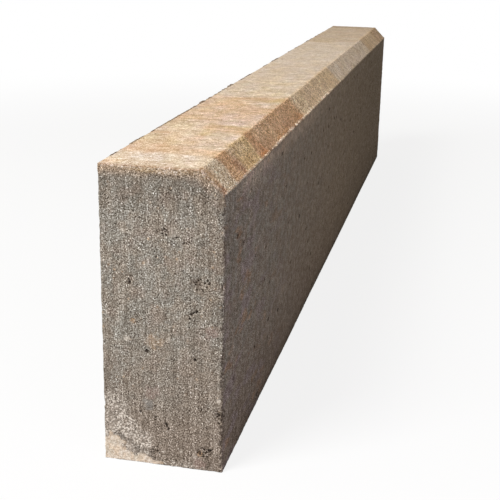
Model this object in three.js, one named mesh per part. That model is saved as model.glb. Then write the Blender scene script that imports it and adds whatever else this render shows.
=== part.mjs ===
// A straight concrete kerb unit, pressed as one piece: 1000 mm long, 200 mm high and 80 mm thick.
//
// Frame, in millimetres: +X runs along the kerb, -Y is the road side, +Y is the footway side, +Z is up.
// The origin is the middle of the bedding face, so the stone stands on z = 0.
//
//        top face                  section, seen along +X with the footway side on the left
//       +--------------.
//       |               \  chamfer
//       |                |
//       |                |  road face
//       |                |
//       +----------------+
//        bedding face

import * as THREE from "three";

// Driving dimensions.
const kerbLength = 1000;
const kerbHeight = 200;
const kerbThickness = 80;
const chamferWidth = 15; // how far the chamfer takes the top face back from the road face
const chamferDrop = 15; // how far the chamfer takes the road face down from the top face
const arrisRadius = 1.2; // rounding that the mould leaves on the arrises around each end face
const longArrisAllowance = 0.3; // how much rounder the arrises along the kerb are than those
const arrisSteps = 4; // straight steps in each rounded arris

/**
 * A convex outline whose corners are rounded by one radius.
 * @param {THREE.Vector2[]} corners the sharp corners, anticlockwise
 * @param {number} radius the rounding of every corner
 * @returns {THREE.Vector2[]} the outline's points, anticlockwise
 */
function roundedOutline(corners, radius) {
  const points = [];
  corners.forEach((corner, index) => {
    const before = corners.at(index - 1);
    const after = corners[(index + 1) % corners.length];
    const arriving = corner.clone().sub(before).normalize();
    const leaving = after.clone().sub(corner).normalize();
    const turn = Math.acos(arriving.dot(leaving));
    const tangentLength = radius * Math.tan(turn / 2);
    const inward = new THREE.Vector2(-arriving.y, arriving.x);
    const centre = corner
      .clone()
      .addScaledVector(arriving, -tangentLength)
      .addScaledVector(inward, radius);
    const start = inward.angle() - Math.PI;
    const arc = new THREE.ArcCurve(centre.x, centre.y, radius, start, start + turn, false);
    points.push(...arc.getPoints(arrisSteps));
  });
  return points;
}

/** The kerb's cross-section: u runs towards the footway and v runs up. */
function kerbSection() {
  const roadSide = -kerbThickness / 2;
  const footwaySide = kerbThickness / 2;
  const corners = [
    new THREE.Vector2(roadSide, 0),
    new THREE.Vector2(footwaySide, 0),
    new THREE.Vector2(footwaySide, kerbHeight),
    new THREE.Vector2(roadSide + chamferWidth, kerbHeight),
    new THREE.Vector2(roadSide, kerbHeight - chamferDrop),
  ];
  return new THREE.Shape(roundedOutline(corners, arrisRadius + longArrisAllowance));
}

/** The whole stone: the section pressed along X, with a rounded arris around each end face. */
function kerbGeometry() {
  const geometry = new THREE.ExtrudeGeometry(kerbSection(), {
    depth: kerbLength - 2 * arrisRadius,
    steps: 1,
    bevelEnabled: true,
    bevelThickness: arrisRadius,
    bevelSize: arrisRadius,
    bevelOffset: -arrisRadius,
    bevelSegments: arrisSteps,
  });
  geometry.translate(0, 0, arrisRadius - kerbLength / 2);
  const across = new THREE.Vector3(0, 1, 0);
  const up = new THREE.Vector3(0, 0, 1);
  const along = new THREE.Vector3(1, 0, 0);
  geometry.applyMatrix4(new THREE.Matrix4().makeBasis(across, up, along));
  return geometry;
}

const concrete = new THREE.MeshStandardMaterial({ color: 0x928779, roughness: 0.95, metalness: 0 });

const kerbStone = new THREE.Mesh(kerbGeometry(), concrete);
kerbStone.name = "kerb_stone";

const kerb = new THREE.Group();
kerb.add(kerbStone);

export default kerb;
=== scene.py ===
"""Dresses a pressed-concrete kerb stone: a grey-brown body mix under a marbled tan facing mix.

The stone is one closed mesh in place of the frame's kerb_stone. Its form is worked out in millimetres
from the frame's own sizes: -Y is the road side with the chamfer, +Y the footway side, +Z is up.
"""

import logging
import math
from dataclasses import dataclass, field
from enum import Enum
from itertools import product
from typing import Iterable, Sequence

import bpy
import numpy as np
from mathutils import Matrix, Vector


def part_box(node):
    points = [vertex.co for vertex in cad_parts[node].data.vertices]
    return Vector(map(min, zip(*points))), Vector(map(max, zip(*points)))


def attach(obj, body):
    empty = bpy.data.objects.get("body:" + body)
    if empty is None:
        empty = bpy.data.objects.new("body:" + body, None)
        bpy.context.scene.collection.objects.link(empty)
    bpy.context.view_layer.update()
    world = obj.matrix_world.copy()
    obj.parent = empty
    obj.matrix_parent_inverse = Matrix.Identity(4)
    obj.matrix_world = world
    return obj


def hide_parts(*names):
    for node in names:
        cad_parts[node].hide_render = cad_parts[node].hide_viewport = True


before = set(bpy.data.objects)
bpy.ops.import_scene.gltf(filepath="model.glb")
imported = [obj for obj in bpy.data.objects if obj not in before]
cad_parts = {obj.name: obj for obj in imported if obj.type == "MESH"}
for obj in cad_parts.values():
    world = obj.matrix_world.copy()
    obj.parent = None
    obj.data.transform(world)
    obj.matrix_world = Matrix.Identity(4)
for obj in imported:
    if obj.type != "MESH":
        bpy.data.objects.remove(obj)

LOG = logging.getLogger("kerb_scene")
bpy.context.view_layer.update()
NODE = "kerb_stone"
PER_METRE = 1000.0  # millimetres in a metre

Array = np.ndarray
Colour = tuple[float, float, float]
Numbers = tuple[float, ...]  # of grains: spacing, share and radius; of a fade: low, high, start and end
Socket = bpy.types.NodeSocket


def srgb(red: int, green: int, blue: int) -> Colour:
    """Turns a colour as a screen shows it into the linear values that shaders use.

    Args:
        red: red, 0 to 255.
        green: green, 0 to 255.
        blue: blue, 0 to 255.

    Returns:
        The linear red, green and blue, 0 to 1.
    """
    shown = np.array([red, green, blue]) / 255
    linear = np.where(shown <= 0.04045, shown / 12.92, ((shown + 0.055) / 1.055) ** 2.4)
    return tuple(float(value) for value in linear)


def ease(values: Array, low: float, high: float) -> Array:
    """Rises smoothly from 0 at low to 1 at high, or falls if low is the larger.

    Args:
        values: the values to read.
        low: the value that gives 0.
        high: the value that gives 1.

    Returns:
        Numbers from 0 to 1, one for each value.
    """
    share = np.clip((values - low) / (high - low), 0, 1)
    return share * share * (3 - 2 * share)


def read_points(mesh: bpy.types.Mesh) -> Array:
    """Reads the places of a mesh's points.

    Args:
        mesh: the mesh.

    Returns:
        The places, one in each row.
    """
    points = np.empty(len(mesh.vertices) * 3, np.float32)
    mesh.vertices.foreach_get("co", points)
    return points.reshape(-1, 3).astype(float)


class Side(Enum):
    """The stone's faces, each with its number in the arrays of depths."""

    BED = 0
    FOOTWAY = 1
    TOP = 2
    CHAMFER = 3
    ROAD = 4
    LEFT_END = 5
    RIGHT_END = 6


class Tint(Enum):
    """Colours that show in the two mixes, in linear values."""

    CREAM = srgb(224, 206, 184)
    PEACH = srgb(218, 188, 156)
    STRAW = srgb(213, 188, 143)
    ROSE = srgb(221, 194, 173)
    TAN = srgb(207, 171, 127)
    AMBER = srgb(210, 172, 132)
    BEIGE = srgb(205, 186, 161)
    ASH = srgb(220, 200, 168)
    LICHEN = srgb(216, 197, 162)
    OLIVE = srgb(217, 183, 126)
    BROWN = srgb(203, 157, 112)
    UMBER = srgb(158, 112, 82)
    RUST = srgb(204, 138, 82)
    MILK = srgb(236, 219, 198)
    HUSK = srgb(186, 163, 137)
    PEARL = srgb(255, 229, 196)
    SAND = srgb(234, 205, 165)
    CHALK = srgb(232, 222, 208)
    PEBBLE = srgb(156, 151, 144)
    BLUSH = srgb(192, 160, 152)
    LOAM = srgb(112, 92, 76)


def lean_towards(tints: Array, amount: Array, other: Tint) -> Array:
    """Moves colours some of the way to another.

    Args:
        tints: a linear colour for each point.
        amount: how far each one moves, from 0 to 1.
        other: the colour to move to.

    Returns:
        The moved colours.
    """
    return tints + amount[:, None] * (np.array(other.value) - tints)


@dataclass(frozen=True)
class Depths:
    """How far points lie inside the stone's faces, in millimetres."""

    table: Array  # a row for each point, with a column for each Side

    def below(self, side: Side) -> Array:
        """How far each point lies below one face."""
        return self.table[:, side.value]

    @property
    def ends(self) -> Array:
        """How far each point lies from the nearer end."""
        return np.minimum(self.below(Side.LEFT_END), self.below(Side.RIGHT_END))

    @property
    def facing(self) -> Array:
        """How far each point lies below the top and the chamfer."""
        return np.minimum(self.below(Side.TOP), self.below(Side.CHAMFER))

    @property
    def arris(self) -> Array:
        """How far each surface point lies from the nearest arris."""
        return np.sort(self.table, axis=1)[:, 1]

    @property
    def nearest(self) -> Array:
        """The number of the face that each point lies nearest to."""
        return np.argmin(self.table, axis=1)


@dataclass(frozen=True)
class KerbShape:
    """The stone with sharp arrises, in millimetres."""

    length: float
    thickness: float
    height: float
    chamfer_width: float
    chamfer_drop: float

    @classmethod
    def from_frame(cls, node: str) -> "KerbShape":
        """Measures the frame's own solid.

        Args:
            node: the name of the solid.

        Returns:
            Its sizes, with the chamfer taken from the plane of its sloping face.
        """
        low, high = (corner * PER_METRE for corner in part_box(node))
        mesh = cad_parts[node].data
        slopes = [face for face in mesh.polygons if face.normal.z > 0.1 and face.normal.y < -0.1]
        slope = max(slopes, key=lambda face: face.area)
        reach = slope.normal.dot(slope.center * PER_METRE)
        top_edge = (reach - slope.normal.z * high.z) / slope.normal.y
        road_edge = (reach - slope.normal.y * low.y) / slope.normal.z
        return cls(
            length=high.x - low.x,
            thickness=high.y - low.y,
            height=high.z - low.z,
            chamfer_width=top_edge - low.y,
            chamfer_drop=high.z - road_edge,
        )

    @property
    def slope(self) -> tuple[float, float]:
        """The chamfer's outward normal, along Y and Z."""
        long_side = math.hypot(self.chamfer_width, self.chamfer_drop)
        return -self.chamfer_drop / long_side, self.chamfer_width / long_side

    def section_planes(self) -> tuple[Array, Array]:
        """The five planes along the kerb.

        Returns:
            Their outward normals in Y and Z, and how far out they lie, in the order of Side.
        """
        normals = np.array([(0, -1), (1, 0), (0, 1), self.slope, (-1, 0)])
        slope_reach = np.dot(self.slope, (-self.thickness / 2, self.height - self.chamfer_drop))
        offsets = np.array([0, self.thickness / 2, self.height, slope_reach, self.thickness / 2])
        return normals, offsets

    def depths(self, points: Array) -> Depths:
        """How far each point lies inside each face.

        Args:
            points: places, one in each row.

        Returns:
            The depths of the points.
        """
        normals, offsets = self.section_planes()
        along = offsets - points[:, 1:] @ normals.T
        ends = np.stack([self.from_near_end(points), self.length / 2 - points[:, 0]], axis=1)
        return Depths(np.concatenate([along, ends], axis=1))

    def from_near_end(self, points: Array) -> Array:
        """How far along the stone each point lies from its near end."""
        return self.length / 2 + points[:, 0]

    def top_at(self, y: Array) -> Array:
        """The height of the top or the chamfer above each place across the stone."""
        slope = self.chamfer_drop / self.chamfer_width
        return self.height - slope * np.clip(self.chamfer_width - self.thickness / 2 - y, 0, None)


@dataclass(frozen=True)
class Ripple:
    """One layer of smooth noise."""

    height: float  # how far it reaches to either side
    size: float | tuple[float, float, float]  # how far apart its values lie
    shift: float = 0.0  # how far away it is read, so that layers differ


@dataclass(frozen=True)
class Pitting:
    """Round hollows strewn through space, in millimetres."""

    cell: float  # the size of the cells, each of which may hold one hollow
    chance: float  # the share of cells that hold one
    smallest: float  # the smallest radius
    largest: float  # the largest radius, up to half a cell
    shift: float = 0.0


class LatticeNoise:
    """Seeded noise in space, read from tables by hashing each cell's place."""

    TABLE = 1 << 16
    PRIMES = (73856093, 19349663, 83492791)

    def __init__(self, seed: int) -> None:
        """Fills the table.

        Args:
            seed: sets every value that the noise gives.
        """
        # Its rows hold a height or a chance, the three parts of a place, and a size.
        self.random = np.random.default_rng(seed).random((5, self.TABLE), dtype=np.float32)

    def _corners(self, base: Array) -> Iterable[tuple[tuple[int, int, int], Array]]:
        """Goes through the eight cells from each base cell on.

        Args:
            base: a cell for each point.

        Yields:
            The step to a cell along each axis, and where the table holds each such cell's numbers.
        """
        keys = [
            [(base[:, axis] + step) * prime for step in (0, 1)] for axis, prime in enumerate(self.PRIMES)
        ]
        for step in product((0, 1), repeat=3):
            mixed = keys[0][step[0]] ^ keys[1][step[1]] ^ keys[2][step[2]]
            yield step, mixed & (self.TABLE - 1)

    def wave(self, points: Array, size: float | Sequence[float]) -> Array:
        """Smooth noise.

        Args:
            points: places, one in each row.
            size: how far apart the noise's values lie, as one size or one for each axis.

        Returns:
            A value from -1 to 1 for each point.
        """
        place = points / np.asarray(size, dtype=float)
        base = np.floor(place).astype(np.int64)
        part = (place - base).astype(np.float32)
        part = part * part * (3 - 2 * part)
        shares = [(1 - part[:, axis], part[:, axis]) for axis in range(3)]
        total = np.zeros(len(points), np.float32)
        for step, entry in self._corners(base):
            total += shares[0][step[0]] * shares[1][step[1]] * shares[2][step[2]] * self.random[0][entry]
        return 2 * total - 1

    def layers(self, points: Array, ripples: Iterable[Ripple], middle: float = 0.0) -> Array:
        """Layers of smooth noise on top of each other.

        Args:
            points: places, one in each row.
            ripples: the layers.
            middle: the value that they sway around.

        Returns:
            Their total for each point.
        """
        total = np.full(len(points), middle, np.float32)
        for ripple in ripples:
            total = total + ripple.height * self.wave(points + ripple.shift, ripple.size)
        return total

    def hollows(self, points: Array, pits: Pitting) -> Array:
        """Round hollows strewn through space.

        Args:
            points: places, one in each row.
            pits: the hollows.

        Returns:
            For each point how deep it lies in a hollow, at most the hollow's radius.
        """
        place = (points + pits.shift) / pits.cell
        base = np.floor(place - 0.5).astype(np.int64)
        deepest = np.zeros(len(points), np.float32)
        for step, entry in self._corners(base):
            centre = base + np.array(step) + self.random[1:4, entry].T
            gap = np.linalg.norm(centre - place, axis=1) * pits.cell
            radius = pits.smallest + (pits.largest - pits.smallest) * self.random[4][entry] ** 2
            bowl = radius * np.sqrt(np.clip(1 - (gap / radius) ** 2, 0, 1))
            deepest = np.maximum(deepest, np.where(self.random[0][entry] < pits.chance, bowl, 0))
        return deepest


@dataclass(frozen=True)
class Mark:
    """One hollow, scar or lump that the eye picks out."""

    across: float  # place along Y on an end, along X on a long face
    z: float
    width: float
    height: float
    depth: float  # negative for a lump
    lean: float = 0.0  # degrees that its height leans to the side
    broken: float = 0.6  # how far it falls apart into smaller ones


@dataclass(frozen=True)
class Patch:
    """A soft-edged patch of another colour on the top or the chamfer."""

    tint: Tint
    start: float  # along X
    end: float
    strength: float
    low: float = -1.0e3  # along Y on the top, along Z on the chamfer
    high: float = 1.0e3


@dataclass(frozen=True)
class Fleck:
    """A single grain or blotch of another colour on the near end."""

    tint: Tint
    across: float  # place along Y
    z: float
    radius: float
    strength: float = 0.8


@dataclass
class Mesher:
    """Builds the dense skin of the sharp stone and rounds its arrises."""

    shape: KerbShape
    spacing: float = 1.6  # of the grid along the stone
    end_spacing: float = 1.0  # across and up it
    arris_spacing: float = 0.4  # beside every arris
    arris_band: float = 2.4  # how far that goes

    def stations(self, length: float, spacing: float) -> Array:
        """Places along an edge, closer together beside its two ends.

        Args:
            length: the edge's length.
            spacing: how far apart the places lie, away from its ends.

        Returns:
            The places, from 0 to the edge's length.
        """
        fine = np.arange(0, self.arris_band, self.arris_spacing)
        count = math.ceil((length - 2 * self.arris_band) / spacing)
        middle = np.linspace(self.arris_band, length - self.arris_band, count + 1)
        return np.concatenate([fine, middle, length - fine[::-1]])

    def skin(self) -> tuple[Array, Array]:
        """The sharp stone's surface as a closed grid.

        Returns:
            Its points, and the four points of each face, going round it from outside.
        """
        shape = self.shape
        x = self.stations(shape.length, self.spacing) - shape.length / 2
        slope = self.stations(shape.chamfer_width, self.end_spacing)
        flat = self.stations(shape.thickness - shape.chamfer_width, self.end_spacing)
        y = np.concatenate([slope, shape.chamfer_width + flat[1:]]) - shape.thickness / 2
        share = self.stations(shape.height, self.end_spacing) / shape.height
        cells, faces = self.shell((len(x), len(y), len(share)))
        across = y[cells[:, 1]]
        points = np.stack([x[cells[:, 0]], across, shape.top_at(across) * share[cells[:, 2]]], axis=1)
        return points, faces

    @staticmethod
    def shell(counts: tuple[int, int, int]) -> tuple[Array, Array]:
        """The outside of a block of grid cells.

        Args:
            counts: how many points the block has along each axis.

        Returns:
            The grid place of each outside point, and the four points of each face.
        """
        quads = []
        corners = np.array([(0, 0), (1, 0), (1, 1), (0, 1)])
        for axis in range(3):
            first, second = (axis + 1) % 3, (axis + 2) % 3
            steps = np.stack(
                np.meshgrid(np.arange(counts[first] - 1), np.arange(counts[second] - 1), indexing="ij"), -1
            ).reshape(-1, 1, 2)
            for level, ring in ((0, corners[::-1]), (counts[axis] - 1, corners)):
                quad = np.full((len(steps), 4, 3), level)
                quad[:, :, [first, second]] = steps + ring
                quads.append(quad)
        places = np.concatenate(quads).reshape(-1, 3)
        keys = (places[:, 0] * counts[1] + places[:, 1]) * counts[2] + places[:, 2]
        _, kept, faces = np.unique(keys, return_index=True, return_inverse=True)
        return places[kept], faces.reshape(-1, 4)

    def rounded(self, points: Array, radius: Array) -> tuple[Array, Array]:
        """Moves the sharp stone's points onto the same stone with rounded arrises.

        Args:
            points: points on the sharp surface.
            radius: the rounding beside each point.

        Returns:
            The moved points and the outward directions there.
        """
        normals, offsets = self.shape.section_planes()
        depth = offsets - points[:, 1:] @ normals.T
        nearest = np.argsort(depth, axis=1)[:, :2]
        rows = np.arange(len(points))
        one, two = nearest.T
        facing = np.sum(normals[one] * normals[two], axis=1)
        push_one = np.clip(radius - depth[rows, one], 0, None)
        want_two = radius - depth[rows, two]
        both = (push_one > 0) & (want_two > push_one * facing)
        slack = np.where(both, 1 - facing**2, 1)
        move_one = np.where(both, (push_one - facing * want_two) / slack, push_one)
        move_two = np.where(both, (want_two - facing * push_one) / slack, 0)
        core = points.copy()
        core[:, 1:] -= move_one[:, None] * normals[one] + move_two[:, None] * normals[two]
        half = self.shape.length / 2 - radius
        core[:, 0] = np.clip(points[:, 0], -half, half)
        outward = points - core
        outward /= np.linalg.norm(outward, axis=1, keepdims=True)
        return core + outward * radius[:, None], outward


@dataclass
class Wear:
    """Every unevenness of the stone's surface, in millimetres, and the masks that go with it."""

    shape: KerbShape
    noise: LatticeNoise = field(default_factory=lambda: LatticeNoise(seed=41))
    body_arris: float = 1.3  # the rounding of each kind of arris
    facing_arris: float = 0.6
    lip_arris: float = 0.35
    bed_arris: float = 0.2
    lip_width: float = 1.2  # the small ledge that the press squeezes out along the chamfer's lower arris
    lip_out: float = 1.1
    crumb_out: float = 1.05
    crown_cover: float = 6.0  # keeps the ragged lower line of the facing off the crown itself
    long_reach: float = 0.3  # how far the facing goes down the long faces
    mark_depth: float = 4.0  # how far below a face its marks reach
    arris_ripples: tuple[Ripple, ...] = (Ripple(0.3, 11), Ripple(0.2, 4, 300))
    long_line: tuple[Ripple, ...] = (Ripple(0.6, 14, 90),)  # the facing's lower line on the long faces
    end_line: tuple[Ripple, ...] = (Ripple(0.8, 9, 50),)
    lip_ripples: tuple[Ripple, ...] = (Ripple(0.5, 5), Ripple(0.5, 14, 70))
    lip_waver: tuple[Ripple, ...] = (Ripple(0.9, 4),)
    crumb_ripples: tuple[Ripple, ...] = (Ripple(0.6, 4.5), Ripple(0.4, 15, 40))
    clump_ripples: tuple[Ripple, ...] = (Ripple(0.6, 3, 60),)
    # the ragged edge of the painted shade and crumbs below the lip
    shade_and_grime_ripples: tuple[Ripple, ...] = (Ripple(1.1, 2.2, 19), Ripple(0.6, 8, 29))
    notch_ripples: tuple[Ripple, ...] = (Ripple(1.0, (3.0, 3.0, 1.3), 83), Ripple(0.4, 12, 93))
    swell: tuple[Ripple, ...] = (Ripple(0.16, 130, 5), Ripple(0.1, 45, 15))
    sand: tuple[Ripple, ...] = (Ripple(0.09, 5.5, 25), Ripple(0.12, 2.6, 35))
    drag: tuple[Ripple, ...] = (Ripple(0.09, (2.4, 2.4, 70), 45),)
    crown: tuple[Ripple, ...] = (Ripple(0.05, (3.2, 20, 20), 55), Ripple(0.03, 2.2, 65))
    crumbled: tuple[Ripple, ...] = (Ripple(0.5, 1.9, 17),)
    corner_ripples: tuple[Ripple, ...] = (Ripple(0.4, 3.5, 87),)
    bite_ripples: tuple[Ripple, ...] = (Ripple(0.16, 2.1, 23),)
    pit_drift: float = 1.3  # how far the pits' rims wander
    fine_pits: Pitting = Pitting(4.5, 0.3, 0.4, 1.2)
    middling_pits: Pitting = Pitting(14, 0.25, 0.6, 2.4, 31)
    rare_pits: Pitting = Pitting(60, 0.25, 1.4, 3.4, 77)
    chips: Pitting = Pitting(8, 0.28, 0.6, 2.6, 7)
    end_marks: tuple[Mark, ...] = (
        Mark(20.6, 125.8, 1.5, 3.0, 1.5),
        Mark(-25.4, 128, 12.5, 10.5, 0.35, broken=0.4),
        Mark(22, 128, 8.0, 9.0, 0.2, broken=0.3),
        Mark(-21, 109.1, 1.15, 10.0, 1.6, -66, 0.75),
        Mark(-18.4, 105, 1.8, 2.2, 1.2),
        Mark(-18.1, 98.9, 1.5, 1.8, 1.1),
        Mark(-1, 159.5, 10.0, 9.0, 0.24, broken=0.4),
        Mark(-10.2, 156.8, 1.5, 1.7, 1.1),
        Mark(-16, 154, 6.0, 5.0, 0.3, broken=0.3),
        Mark(-22, 77, 2.4, 2.4, 1.3),
        Mark(10, 80, 2.6, 3.0, 1.3),
        Mark(-3.1, 28.5, 1.5, 9.0, 1.5, 27, 0.7),
        Mark(-28, 13, 13.0, 8.0, 0.35, broken=0.3),
        Mark(-31, 14.5, 5.0, 2.2, 1.1, 20, 1.0),
        Mark(-24.5, 12.5, 2.6, 3.4, 1.1, -20, 1.0),
        Mark(5.4, 8.9, 9.0, 5.0, 0.4, broken=0.3),
        Mark(14.6, 36.7, 1.8, 2.2, 1.2),
        Mark(-38, 39.5, 6.0, 12.0, 0.45, broken=0.3),
        Mark(-37, 41, 1.8, 3.6, 0.9, 30, 1.0),
        Mark(9, 43, 7.0, 5.0, -0.3),
    )
    road_marks: tuple[Mark, ...] = (
        Mark(-298, 143, 9.0, 3.0, 1.6),
        Mark(-373, 115, 5.0, 3.0, 1.4),
        Mark(-410, 120, 4.5, 2.6, 1.3),
        Mark(-267, 160, 5.0, 3.0, 1.2),
        Mark(-190, 77, 8.0, 3.0, 1.4),
        Mark(-187, 55, 5.0, 3.0, 1.3),
    )
    bites: tuple[tuple[float, float, float, float], ...] = (
        (-500.7, -40.7, 183.3, 1.4),
        (-501, -41.5, 40, 3.0),
        (-501, -42, 46, 3.0),
        (-501, -41, 80, 2.4),
        (-501, -41, 74, 2.0),
        (-500, 41.5, 34, 2.4),
    )
    clumps: tuple[tuple[float, float, float], ...] = (  # along X: middle, half length and height
        (-435, 7, 0.7),
        (-322, 24, 0.5),
        (-290, 9, 0.7),
        (-263, 7, 1.1),
        (-166, 10, 1.0),
        (-89, 12, 0.6),
        (40, 20, 0.6),
    )

    def arris_radius(self, points: Array) -> Array:
        """The rounding of the nearest arris: the pressed facing keeps the crisper ones.

        Args:
            points: places, one in each row.

        Returns:
            A radius for each point.
        """
        depth = self.shape.depths(points)
        body = ease(depth.facing, 2, 9)
        radius = self.facing_arris + (self.body_arris - self.facing_arris) * body
        lip = self.lip_arris + self.corner_wear(points)
        radius = lip + (radius - lip) * ease(self.lip_gap(points), 1.5, 4)
        radius = self.bed_arris + (radius - self.bed_arris) * ease(depth.below(Side.BED), 1.5, 5)
        return radius * self.noise.layers(points, self.arris_ripples, 1.0)

    def facing_reach(self, points: Array) -> Array:
        """How far below the top and the chamfer the facing mix goes at each point.

        Args:
            points: places, one in each row.

        Returns:
            A depth for each point.
        """
        depth = self.shape.depths(points)
        sides = np.minimum(depth.below(Side.ROAD), depth.below(Side.FOOTWAY))
        across = points[:, 1]
        half = self.shape.thickness / 2
        beside_slope = ease(across, 10 - half, 25 - half)
        on_end = 1.8 * ease(across, -43, -27) + 1.9 * beside_slope * ease(across, 40, 5)
        on_end = on_end + self.noise.layers(points, self.end_line)
        on_long_face = self.noise.layers(points, self.long_line, self.long_reach)
        reach = on_long_face + (on_end - on_long_face) * ease(depth.ends, 2.4, 0.8)
        inside = ease(np.minimum(sides, depth.ends + 0.6), 0.5, 1.6) * ease(depth.facing, 2.4, 1.0)
        return reach + self.crown_cover * inside

    def lip_gap(self, points: Array) -> Array:
        """How far each point lies from the chamfer's lower arris, along Y or Z, whichever is more."""
        depth = self.shape.depths(points)
        return np.maximum(depth.below(Side.ROAD), depth.below(Side.CHAMFER) * math.sqrt(2))

    def corner_wear(self, points: Array) -> Array:
        """How far the chamfer's lower arris has worn back towards the near end."""
        return 0.3 * ease(points[:, 0], -470, -495)

    def lip(self, points: Array) -> Array:
        """How far the thin lip along the chamfer's lower arris shows at each point.

        Args:
            points: places, one in each row.

        Returns:
            Numbers from 0 to 1.
        """
        along = points[:, 0]
        strength = self.noise.layers(points * (1, 0, 0), self.lip_ripples, 0.7)
        strength = np.clip(strength, 0.05, 1) * (1 - 0.7 * ease(along, -120, 40))
        strength = strength * ease(along, -501, -494)
        width = self.lip_width * (1 + 0.35 * ease(along, -380, -300))
        return np.clip(1 - self.lip_gap(points) / width, 0, 1) * strength

    def lip_shown(self, points: Array) -> Array:
        """Where that lip shows its own pale colour, from 0 to 1: hardly at all on its outer face."""
        below = self.shape.depths(points).below(Side.CHAMFER) * math.sqrt(2)
        return ease(self.lip(points), 0.05, 0.35) * ease(below, 0.9, 0.35)

    def crumbs(self, points: Array) -> Array:
        """Where crumbs of body mix cling along the footway arris of the top.

        Args:
            points: places, one in each row.

        Returns:
            Numbers from 0 to 1.
        """
        depth = self.shape.depths(points)
        near = np.maximum(depth.below(Side.FOOTWAY), depth.below(Side.TOP))
        along = points * (1, 0.5, 0.5)
        height = self.noise.layers(along, self.crumb_ripples, 0.1)
        uneven = self.noise.layers(along, self.clump_ripples, 0.8)
        for middle, half, rise in self.clumps:
            clump = ease(np.abs(points[:, 0] - middle), 1.3 * half, 0.5 * half)
            height = np.maximum(height, rise * clump * uneven)
        height = height - 0.5 * ease(points[:, 0], -470, -495)
        return ease(near, 1.9, 0.7) * np.clip(height, 0, 1)

    def shade_and_grime(self, points: Array) -> Array:
        """Where painted shade under the lip and dark crumbs sit in a ragged line just below it.

        Args:
            points: places, one in each row.

        Returns:
            Numbers from 0 to 1.
        """
        below = self.lip_gap(points)
        on_road = ease(self.shape.depths(points).below(Side.ROAD), 0.8, 0.3)
        ragged = self.noise.layers(points, self.shade_and_grime_ripples)
        return on_road * ease(below, 0.7, 1.1) * ease(below + 1.6 * ragged, 2.4, 1.4)

    def teeth(self, points: Array) -> Array:
        """Where the upright arrises of the ends break into small notches, which the material darkens with
        painted shade.

        Args:
            points: places, one in each row.

        Returns:
            Numbers from 0 to 1.
        """
        depth = self.shape.depths(points)
        road = ease(depth.below(Side.ROAD), 3.6, 1.0)
        footway = 0.25 * ease(depth.below(Side.FOOTWAY), 2.0, 0.8)
        notch = self.noise.layers(points, self.notch_ripples)
        return np.maximum(road, footway) * ease(depth.ends, 1.2, 0.5) * ease(notch, -0.1, 0.45)

    def bitten(self, points: Array) -> Array:
        """Where an arris has lost a bite.

        Args:
            points: places, one in each row.

        Returns:
            Numbers from 0 to 1.
        """
        share = np.zeros(len(points))
        for *centre, radius in self.bites:
            gap = np.linalg.norm(points - np.array(centre), axis=1)
            share = np.maximum(share, ease(gap / radius, 1.25, 0.95))
        return share

    def hollow(self, points: Array) -> Array:
        """How deep the pits and scars are.

        Args:
            points: places, one in each row.

        Returns:
            A depth for each point, negative on a lump.
        """
        noise = self.noise
        depth = self.shape.depths(points)
        on_end = ease(depth.ends, 3, 1)
        open_places = ease(noise.wave(points + 500, 24), -0.1, 0.7)
        drift = [noise.wave(points + 600 * step, 2.3) for step in (1, 2, 3)]
        bent = points + self.pit_drift * np.stack(drift, axis=1)
        fine = noise.hollows(bent, self.fine_pits) * on_end * (0.3 + 0.7 * open_places)
        middling = noise.hollows(bent, self.middling_pits) * (0.25 + 0.5 * open_places)
        rare = noise.hollows(bent, self.rare_pits) * 0.5
        deepest = np.maximum(np.maximum(fine * 0.7, middling), rare) * ease(depth.facing, 1.5, 5)
        for side, marks in ((Side.LEFT_END, self.end_marks), (Side.ROAD, self.road_marks)):
            for mark in marks:
                self.press(points, depth.below(side), side, mark, deepest)
        return deepest

    def press(self, points: Array, below: Array, side: Side, mark: Mark, deepest: Array) -> None:
        """Adds one mark to the depths around it.

        Args:
            points: places, one in each row.
            below: their depths below the marked face.
            side: the marked face.
            mark: the mark.
            deepest: the depths to add to.
        """
        lean = math.radians(mark.lean)
        across = points[:, 1 if side is Side.LEFT_END else 0] - mark.across
        up = points[:, 2] - mark.z
        reach = max(mark.width, mark.height)
        near = np.flatnonzero((np.hypot(across, up) < reach) & (below < self.mark_depth))
        across, up = across[near], up[near]
        wide = (across * math.cos(lean) - up * math.sin(lean)) / (mark.width / 2)
        high = (across * math.sin(lean) + up * math.cos(lean)) / (mark.height / 2)
        broken = self.noise.wave(points[near] + 11, 1.1) * mark.broken
        whole = 0.8 * (1 - wide**2 - high**2) - 0.5 * (mark.broken - 0.6)
        deepest[near] += mark.depth * ease(whole + broken, 0.05, 0.7)

    def roughness(self, points: Array) -> Array:
        """The height of the even roughness: waves, sand and drag lines.

        Args:
            points: places, one in each row.

        Returns:
            A height for each point.
        """
        noise = self.noise
        depth = self.shape.depths(points)
        body = ease(depth.facing, 0.5, 4)
        on_end = ease(depth.ends, 3, 1)
        sand = noise.layers(points, self.sand) * (1 + 0.8 * on_end)
        rough = body * (sand + noise.layers(points, self.drag))
        return noise.layers(points, self.swell) + rough + (1 - body) * noise.layers(points, self.crown)

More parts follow.
